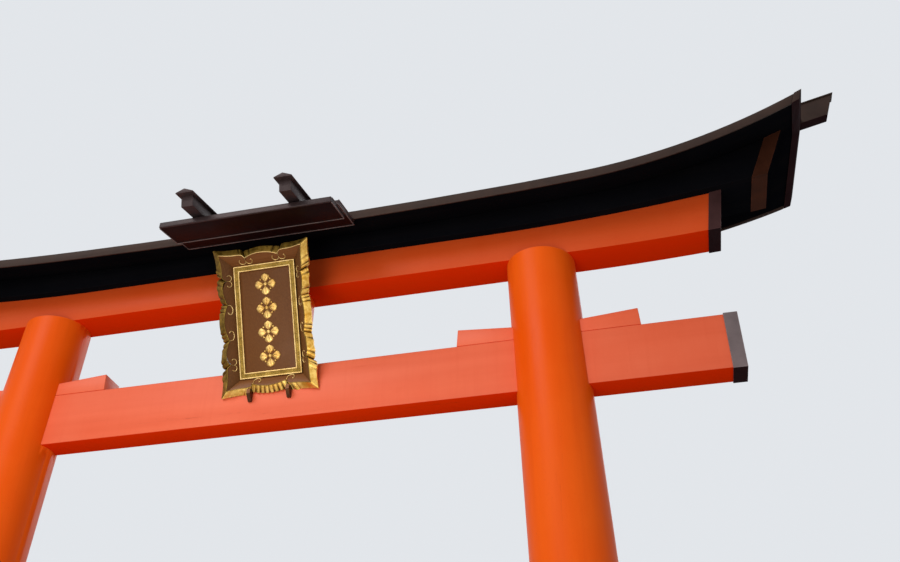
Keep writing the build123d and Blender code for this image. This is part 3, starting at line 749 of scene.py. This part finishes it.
def outline_lobes(inset):
    """All the lobes: two ends, the direction inward, how far each bulges and where."""
    lobes = []
    for (start, end, _, inward), notches in zip(tablet_edges(inset), NOTCHES):
        shares = (0.0,) + notches + (1.0,)
        ends = [start + (end - start) * share + inward * (NOTCH_DEPTH if share in notches else 0)
                for share in shares]
        for number in range(len(notches) + 1):
            swell = -TIP_HOLLOW if number in (0, len(notches)) else LOBE_SWELL
            peak = HOOKED_LOBES.get(number, 0.5) if notches == SIDE_NOTCHES else 0.5
            lobes.append((ends[number], ends[number + 1], inward, swell, peak))
    return lobes


def bulge(share, peak):
    """A hump from 0 up to 1 and back to 0, highest at the peak."""
    if peak > 0.5:
        share, peak = 1 - share, 1 - peak
    stage = max(0.0, share) ** (math.log(0.5) / math.log(peak))
    return 4 * stage * (1 - stage)


def lobe_point(lobe, share):
    start, end, inward, swell, peak = lobe
    return start.lerp(end, share) - inward * (swell * bulge(share, peak))


def board_z(point, inward):
    """The level of the sloping board under a point, whose slope is one in one."""
    centre = Vector((0, (MOULD_FOOT + MOULD_HEAD) / 2))
    half = MOULD_HALF if abs(inward.x) > 0.5 else (MOULD_HEAD - MOULD_FOOT) / 2
    return PANEL_Z + abs((point - centre).dot(inward)) - half


def lean_in_place(piece):
    """Moves a finished piece from where it was drawn to its place on the gate."""
    piece.data.transform(TABLET)
    piece.data.update()
    return piece


print("lobes round the tablet:", len(outline_lobes(0.0)))

# %% [markdown]
# The gilt rim follows the cloud-shaped outline. Its face falls back towards the outside,
# its crest dips onto the sloping boards at the notches, and there the carver cut it into
# round ribs with sharp grooves between them. From each corner the rim runs nearly
# straight and then steps in at the notch, and the lacquered board widens with it. A grid
# is added, its columns are laid along the outline and its rows round the rim's section,
# and the seams are merged.

# %% The ribbed rim
RIM_FALL = 0.014  # from the crest back to the outer edge
RIM_BACK = 0.009  # thickness at the outer edge
RIB_PITCH = 0.0235
RIB_SPREAD = 0.30  # how unevenly the carver spaced them
RIB_DEPTH = 0.0095
RIB_EDGE = 0.0038  # how far each rib swells past the outline
RIB_POWER, FOOT_RIB_POWER = 0.45, 0.55  # lower powers give fuller ribs
RIB_REACH = {"tip": 2.6, "hooked_near": 2.2, "hooked_far": 2.0, "middle": 3.3, "top": 1.6}
RIB_FADE = 0.0035  # over which the ribs die away
RIM_WELD = 0.00002
COLUMNS_PER_LOBE = 96
FACE_ROWS = 5
RIM_ROWS = FACE_ROWS + 4  # the face, the end of the board, and the back
RIGHT, TOP, LEFT, BOTTOM = range(4)
SIDES = (RIGHT,) * 5 + (TOP,) * 3 + (LEFT,) * 5 + (BOTTOM,) * 3
FOOT_LOBE, FOOT_RIBS = len(SIDES) - 2, 8  # the lobe in the middle of the foot
CREST_DIP, FOOT_DIP = 0.85, 0.35  # the share of the way down to the board
# The rim's right side and foot take the lit gilding, its top and left side the shaded copy: painted
# light and shade.
GILT_FINISH = (0, 1, 1, 0)  # bright on the right and at the foot, aged on the other sides
BOARD_FINISH = (2, 3, 2, 3)
TIP_FILL = 0.022  # how much fuller the rim is than the solid's at the tips
TIP_RISE = 0.7  # how much of that it rises, as the boards do
TIP_FLUSH = 0.006  # past this the board runs on without a step
BOARD_LAP = 0.001  # how far the rim's own board laps over the solid one


def lobe_place(number):
    """A lobe's side, its place there, and the last place on that side."""
    side = SIDES[number]
    return side, number - SIDES.index(side), SIDES.count(side) - 1


def tip_fill(number, share):
    """How far the rim stands out between a corner and its notch."""
    _, place, last = lobe_place(number)
    if place not in (0, last):
        return 0.0
    away = share if place == 0 else 1 - share
    return TIP_FILL * away ** 0.8 * (1 - away ** 14)


def rib_reaches(number):
    """How many ribs a lobe has from its start and from its end."""
    side, place, last = lobe_place(number)
    if place in (0, last):
        tip = RIB_REACH["top" if side == TOP else "tip"]
        return (0.0, tip) if place == 0 else (tip, 0.0)
    if last == 4 and place in HOOKED_LOBES:
        reaches = (RIB_REACH["hooked_near"], RIB_REACH["hooked_far"])
        return reaches if place == 1 else reaches[::-1]
    return (RIB_REACH["top" if side == TOP else "middle"],) * 2


def rib(number, share, length):
    """The rib's height, 0 in a groove and 1 on a rib, and how strongly it is cut."""
    if number == FOOT_LOBE:
        return abs(math.sin(math.pi * FOOT_RIBS * share)) ** FOOT_RIB_POWER, 1.0
    height, strength = 1.0, 0.0
    pitch = RIB_PITCH * (1 + RIB_SPREAD * math.sin(2.3 * number))
    for distance, reach in zip((share * length, (1 - share) * length), rib_reaches(number)):
        if reach and distance < length / 2:
            stretch = 1 + RIB_SPREAD * distance / (reach * pitch)
            height = abs(math.sin(math.pi * distance / (pitch * stretch))) ** RIB_POWER
            strength = 1 / (1 + math.exp((distance - reach * pitch) / RIB_FADE))
    return height, strength


def rim_crest(lobes, number, share):
    """Where the solid board ends, and the crest, which stands further out at the tips."""
    inward = lobes[number][2]
    wall = lobe_point(lobes[number], share)
    board = board_z(wall, inward)
    dip = FOOT_DIP if SIDES[number] == BOTTOM else CREST_DIP
    level = CREST_Z - dip * max(0.0, CREST_Z - board)
    fill = tip_fill(number, share)
    flush = min(1.0, fill / TIP_FLUSH)
    level += flush * (board - level)
    crest = wall - inward * fill
    lap = wall + inward * (BOARD_LAP * flush)
    return (lap.x, lap.y, level), (crest.x, crest.y, level + TIP_RISE * fill)


def shape_rim(rim):
    """Lays the grid along the outline and notes in each point how deep it is cut."""
    outer, inner = outline_lobes(0.0), outline_lobes(RIM_WIDTH)
    # The depth of the cut kept here darkens the gilding in the grooves: painted shade.
    groove = rim.data.attributes.new("groove", "FLOAT", "POINT")
    for vertex in rim.data.vertices:
        place = (vertex.co.x + 1) / 2 * len(outer)
        number = min(int(place + 1e-6), len(outer) - 1)
        share = min(1.0, max(0.0, place - number))
        row = round((vertex.co.y + 1) / 2 * RIM_ROWS) % RIM_ROWS
        start, end, inward = outer[number][:3]
        wall, crest = rim_crest(inner, number, share)
        height, strength = rib(number, share, (end - start).length)
        edge = lobe_point(outer[number], share)
        edge = edge - inward * (RIB_EDGE * strength * height + tip_fill(number, share))
        if row <= FACE_ROWS:
            across = 1 - row / FACE_ROWS
            point = Vector(crest[:2]).lerp(edge, across)
            depth = strength * (1 - height) * (0.25 + 0.75 * across)
            groove.data[vertex.index].value = depth
            vertex.co = (point.x, point.y, crest[2] - RIM_FALL * across ** 1.2 - RIB_DEPTH * depth)
        elif row == FACE_ROWS + 1:
            vertex.co = wall
        else:
            point = lobe_point(inner[number], share) if row == FACE_ROWS + 2 else edge
            vertex.co = (point.x, point.y, min(wall[2], CREST_Z) - RIM_FALL - RIM_BACK)


def make_rim():
    columns = COLUMNS_PER_LOBE * len(SIDES)
    select_none()
    bpy.ops.mesh.primitive_grid_add(x_subdivisions=columns, y_subdivisions=RIM_ROWS, size=2)
    rim = bpy.context.object
    rim.name = "tablet_gilt_rim"
    dress(rim, gilt["rim"])
    for material in (gilt["aged"], brown["board_upright"], brown["board_across"]):
        rim.data.materials.append(material)
    for face in rim.data.polygons:
        side = SIDES[int((face.center.x + 1) / 2 * len(SIDES))]
        row = int((face.center.y + 1) / 2 * RIM_ROWS)
        face.material_index = (BOARD_FINISH if row == FACE_ROWS else GILT_FINISH)[side]
    shape_rim(rim)
    alone(rim)
    bpy.ops.object.mode_set(mode="EDIT")
    bpy.ops.mesh.select_all(action="SELECT")
    bpy.ops.mesh.remove_doubles(threshold=RIM_WELD)
    bpy.ops.mesh.normals_make_consistent(inside=False)
    bpy.ops.object.mode_set(mode="OBJECT")
    smooth(rim, 38)
    return lean_in_place(rim)


rim = make_rim()
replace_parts(rim, "tablet_rim")
print("rim faces:", len(rim.data.polygons))

# %% [markdown]
# A gilt line runs along the rim's crest, bright at the head, and thin and darker
# elsewhere, where its darker gilding is painted shade.
# At every notch it runs on as a hook that lies on the board. Both are curves with a round
# bevel. The hook's bevel tapers from the rim to a small bulb at its end.

# %% The line and its hooks
LINE_STEPS, HOOK_STEPS = 26, 20
LINE_RADIUS, THIN_LINE_RADIUS = 0.0027, 0.0017
LINE_LIFT, HOOK_LIFT = 0.0012, 0.0014  # off the crest, and off the board
HEAD_LOBES = (5, 6, 7)
OTHER_LOBES = tuple(range(8, 16)) + tuple(range(5))
HOOK_TURN = math.radians(228)
HOOK_SHRINK = 0.38  # how much tighter the hook is at its end

PAIR, ONWARD, BACK = (-1, 1), (1,), (-1,)  # which way a notch's hooks turn
PAIRED_HOOK = (0.0021, 0.0185, 1.0, 0.013)  # thickness, radius, stretch and lead
LONG_HOOK = (0.0021, 0.0190, 1.55, 0.009)
HEAD_HOOK = (LINE_RADIUS, 0.0215, 1.0, 0.018)
FOOT_HOOK = (LINE_RADIUS, 0.0230, 1.0, 0.018)
SIDE_HOOKS = ((PAIR, PAIRED_HOOK), (ONWARD, LONG_HOOK), (BACK, LONG_HOOK), (PAIR, PAIRED_HOOK))
HOOKS = (SIDE_HOOKS, ((PAIR, HEAD_HOOK),) * 2, SIDE_HOOKS, ((ONWARD, FOOT_HOOK),) * 2)


def drawn_line(name, points, depth, radii):
    """A round line through the points, made a mesh."""
    data = bpy.data.curves.new(name, "CURVE")
    data.dimensions = "3D"
    data.bevel_depth = depth
    data.bevel_resolution = 2
    data.use_fill_caps = True
    spline = data.splines.new("POLY")
    spline.points.add(len(points) - 1)
    for point, place, radius in zip(spline.points, points, radii):
        point.co = (*place, 1)
        point.radius = radius
    alone(placed(name, data))
    bpy.ops.object.convert(target="MESH")
    line = bpy.context.object
    smooth(line, 60)
    return line


def rim_line(name, numbers, radius):
    lobes = outline_lobes(RIM_WIDTH)
    points = []
    for number in numbers:
        for step in range(LINE_STEPS + (number == numbers[-1])):
            x, y, level = rim_crest(lobes, number, step / LINE_STEPS)[1]
            points.append((x, y, level + LINE_LIFT))
    return lean_in_place(drawn_line(name, points, radius, [1.0] * len(points)))


def hook_points(hand, radius, stretch, lead):
    """A hook from the origin: it runs in along Y, turns over and comes back."""
    points = [(0.0, -0.003, 0.0), (0.0, 0.5 * lead, 0.0)]
    for step in range(HOOK_STEPS + 1):
        share = step / HOOK_STEPS
        angle = math.pi - HOOK_TURN * share
        size = radius * (1 - HOOK_SHRINK * share ** 2)
        x = stretch * (radius + size * math.cos(angle))
        points.append((hand * x, lead + size * math.sin(angle), 0.0))
    return points


def hook_radii():
    """Slender at first, fuller in the turn, with a bulb at the end."""
    swell = [0.85 + 0.3 * math.sin(math.pi * step / HOOK_STEPS) for step in range(HOOK_STEPS - 2)]
    return [0.9, 0.85] + swell + [1.2, 1.6, 1.5]


def board_matrix(point, along, inward):
    """The plane of a sloping board at a point of the rim's crest."""
    out = Vector((inward.x, inward.y, 1.0)).normalized()
    slope = Vector((inward.x, inward.y, -1.0)).normalized()
    side = slope.cross(out)
    if side.dot(Vector((along.x, along.y, 0))) < 0:
        side = -side
    place = Vector((point.x, point.y, board_z(point, inward))) + out * HOOK_LIFT
    return Matrix.Translation(place) @ Matrix((side, slope, out)).transposed().to_4x4()


def rim_hooks():
    """Two hooks back to back at the head's and the sides' outer notches, else one."""
    hooks = []
    edges = tablet_edges(RIM_WIDTH)
    for (start, end, along, inward), notches, shapes in zip(edges, NOTCHES, HOOKS):
        for share, (hands, (depth, *shape)) in zip(notches, shapes):
            plane = board_matrix(start.lerp(end, share) + inward * NOTCH_DEPTH, along, inward)
            for hand in hands:
                hook = drawn_line("hook", hook_points(hand, *shape), depth, hook_radii())
                hook.data.transform(plane)
                hooks.append(lean_in_place(hook))
    return joined(hooks, "tablet_hooks")


dress(rim_line("tablet_head_line", HEAD_LOBES, LINE_RADIUS), gilt["lines"])
# The line on the sides takes the darker band gilding: painted shade.
dress(rim_line("tablet_side_line", OTHER_LOBES, THIN_LINE_RADIUS), gilt["band"])
hooks = dress(rim_hooks(), gilt["lines"])
print("hook faces:", len(hooks.data.polygons))

# %% [markdown]
# The moulding round the panel is two fine gilt lines with a darker, worked band between
# them. A copy of the solid ring has its front faces inset and pushed back, so that the
# lines are left standing. Small studs are set all along the band.

# %% The moulding and its studs
LINE_WIDTH = 0.0060
BAND_SINK = 0.005
MOULD_WIDTH, MOULD_HEIGHT = 0.032, 0.012
STUD_STEP = 0.0125
STUD_RADIUS, STUD_TOP, STUD_HEIGHT = 0.0042, 0.0016, 0.0024


def make_moulding():
    piece = eased_copy("tablet_moulding", 0.0)
    for part in (*piece.data.vertices, *piece.data.edges):
        part.select = False
    for face in piece.data.polygons:
        face.select = face.normal.dot(FACE) > 0.99
    bpy.ops.object.mode_set(mode="EDIT")
    bpy.ops.mesh.select_mode(type="FACE")
    bpy.ops.mesh.inset(thickness=LINE_WIDTH, depth=0.0)
    bpy.ops.mesh.extrude_region_move(TRANSFORM_OT_translate={"value": tuple(-BAND_SINK * FACE)})
    bpy.ops.object.mode_set(mode="OBJECT")
    dress(piece, gilt["lines"])
    piece.data.materials.append(gilt["band"])
    for face in piece.data.polygons:
        face.material_index = int(face.select)
    ease(piece, 0.0014, 30)
    smooth(piece)
    return piece


def stud_places():
    """Evenly spaced places along the middle of the band."""
    half = MOULD_HALF - MOULD_WIDTH / 2
    low, high = MOULD_FOOT + MOULD_WIDTH / 2, MOULD_HEAD - MOULD_WIDTH / 2
    places = []
    across = int(2 * half / STUD_STEP)
    upward = int((high - low) / STUD_STEP)
    for number in range(across + 1):
        x = -half + 2 * half * number / across
        places += [(x, low), (x, high)]
    for number in range(1, upward):
        y = low + (high - low) * number / upward
        places += [(-half, y), (half, y)]
    return places


def moved_copy(piece, matrix):
    copy = placed(piece.name + "_copy", piece.data.copy())
    copy.data.transform(matrix)
    return copy


def make_studs():
    select_none()
    bpy.ops.mesh.primitive_cone_add(
        vertices=4, radius1=STUD_RADIUS, radius2=STUD_TOP, depth=STUD_HEIGHT)
    stud = bpy.context.object
    bpy.ops.object.transform_apply()
    level = PANEL_Z + MOULD_HEIGHT - BAND_SINK + STUD_HEIGHT / 2
    studs = [lean_in_place(moved_copy(stud, Matrix.Translation((x, y, level))))
             for x, y in stud_places()]
    bpy.data.objects.remove(stud)
    return joined(studs, "tablet_moulding_studs")


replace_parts(make_moulding(), "tablet_moulding")
dress(make_studs(), gilt["studs"])
print("studs:", len(stud_places()))

# %% [markdown]
# The boards and the panel keep their solids' shapes, with eased edges. On the panel
# stand four plain quatrefoil rosettes, one above the other, each with four round petals,
# four beads between them and a boss. A petal is a grid bent into a dome with a groove
# along its middle. It is shaped once, and its copies are turned about the boss.

# %% Boards, panel and rosettes
BOARDS = {"tablet_board_top": "board_across", "tablet_board_bottom": "board_across",
          "tablet_board_left": "board_upright", "tablet_board_right": "board_upright",
          "tablet_panel": "panel"}
for name, finish_name in BOARDS.items():
    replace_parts(dress(eased_copy(name, 0.001), brown[finish_name]), name)

ROSETTES, ROSETTE_STEP, ROSETTE_MIDDLE = 4, 0.134, 0.566
PETAL_START, PETAL_END = 0.010, 0.061
PETAL_HALF, PETAL_HEIGHT = 0.0255, 0.0095
PETAL_GROOVE = 0.6  # share of the height cut away at the petal's root
GROOVE_WIDTH = 0.16  # as a share of the petal's half width
BOSS_RADIUS, BEAD_RADIUS, BEAD_PLACE = 0.0125, 0.0060, 0.040
PETAL_STEPS = 20


def make_petal():
    """A domed petal on the panel, pointing along Y."""
    select_none()
    bpy.ops.mesh.primitive_grid_add(x_subdivisions=PETAL_STEPS, y_subdivisions=PETAL_STEPS, size=2)
    petal = bpy.context.object
    for vertex in petal.data.vertices:
        across, along = vertex.co.x, (vertex.co.y + 1) / 2
        width = PETAL_HALF * math.sin(math.pi * along ** 1.45) ** 0.6
        dome = math.sqrt(max(0.0, 1 - across ** 2))
        dome *= math.sin(math.pi * (0.08 + 0.84 * along)) ** 0.5
        line = 1 - PETAL_GROOVE * math.exp(-(across / GROOVE_WIDTH) ** 2) * (1 - along)
        length = PETAL_START + (PETAL_END - PETAL_START) * along
        vertex.co = (across * width, length, PETAL_HEIGHT * dome * line - 0.001)
    smooth(petal, 60)
    return petal


def make_bead(radius, reach):
    """A low round bead, reach being how far it is from the rosette's middle."""
    select_none()
    bpy.ops.mesh.primitive_uv_sphere_add(
        segments=24, ring_count=12, radius=radius, location=(0, reach, 0))
    bead = bpy.context.object
    bpy.ops.transform.resize(value=(1, 1, 0.8))
    bpy.ops.object.transform_apply()
    smooth(bead, 80)
    return bead


def turned_copy(piece, degrees):
    return moved_copy(piece, Matrix.Rotation(math.radians(degrees), 4, "Z"))


def make_rosettes():
    petal, bead = make_petal(), make_bead(BEAD_RADIUS, BEAD_PLACE)
    parts = [make_bead(BOSS_RADIUS, 0.0)]
    for quarter in range(4):
        parts += [turned_copy(petal, 90 * quarter), turned_copy(bead, 90 * quarter + 45)]
    rosette = joined(parts, "rosette")
    copies = []
    for number in range(ROSETTES):
        level = ROSETTE_MIDDLE + ROSETTE_STEP * (number - (ROSETTES - 1) / 2)
        copies.append(lean_in_place(moved_copy(rosette, Matrix.Translation((0, level, PANEL_Z)))))
    for first in (petal, bead, rosette):
        bpy.data.objects.remove(first)
    return joined(copies, "tablet_rosettes")


rosettes = dress(make_rosettes(), gilt["flowers"])
print("rosette faces:", len(rosettes.data.polygons))

# %% [markdown]
# The light is a plain studio: a pale floor that throws light up under the beams, an even
# sky, and large soft lamps. The sky looks white to the camera and in reflections, while
# the light that it sheds is set apart, so the background never overexposes the gate.

# %% Floor, sky and lamps
LAMP_AIM = Vector((MIDDLE_X, 0.0, 4.3))


def make_floor():
    select_none()
    bpy.ops.mesh.primitive_plane_add(size=60, location=(MIDDLE_X, 0, -0.001))
    floor = bpy.context.object
    floor.name = "studio_floor"
    material, tree, shader, place = start_material("studio_floor", Roughness=0.9)
    tone = mix(tree, noise(tree, place, 0.4), (0.70, 0.70, 0.69), (0.74, 0.74, 0.73))
    feed(tree, shader, {"Base Color": tone})
    floor.data.materials.append(material)


def make_sky(light, seen):
    world = bpy.data.worlds.new("studio_sky")
    bpy.context.scene.world = world
    world.use_nodes = True
    tree = world.node_tree
    tree.nodes.clear()
    shed = add(tree, "ShaderNodeBackground", {"Color": (0.93, 0.96, 1.0), "Strength": light})
    view = add(tree, "ShaderNodeBackground", {"Color": (0.90, 0.93, 0.97), "Strength": seen})
    path = add(tree, "ShaderNodeLightPath").outputs
    either = maths(tree, "MAXIMUM", path["Is Camera Ray"], path["Is Glossy Ray"])
    either = maths(tree, "MAXIMUM", either, path["Is Transmission Ray"])
    blend = add(tree, "ShaderNodeMixShader", {0: either, 1: shed.outputs[0], 2: view.outputs[0]})
    add(tree, "ShaderNodeOutputWorld", {"Surface": blend.outputs[0]})


def make_lamp(name, place, size, power, colour, spread=180):
    data = bpy.data.lights.new(name, "AREA")
    data.shape = "RECTANGLE"
    data.spread = math.radians(spread)
    data.size, data.size_y = size
    data.energy = power
    data.color = colour
    aim = (LAMP_AIM - Vector(place)).to_track_quat("-Z", "Y")
    placed(name, data).matrix_world = Matrix.Translation(place) @ aim.to_matrix().to_4x4()


make_floor()
make_sky(0.32, 0.85)
make_lamp("key_lamp", (-2.2, -8.0, 10.5), (5.0, 5.0), 490, (1.0, 0.985, 0.96))
make_lamp("front_lamp", (0.0, -10.0, 4.0), (6.0, 5.0), 175, (1.0, 0.98, 0.96))
make_lamp("side_lamp", (8.0, -6.5, 3.5), (4.0, 4.0), 45, (1.0, 0.97, 0.93))
make_lamp("low_lamp", (1.5, -4.8, 0.9), (2.4, 1.6), 18, (1.0, 0.95, 0.88), spread=72)
make_lamp("back_lamp", (3.0, 8.0, 8.5), (5.0, 5.0), 200, (0.98, 0.99, 1.0))
print("studio ready")
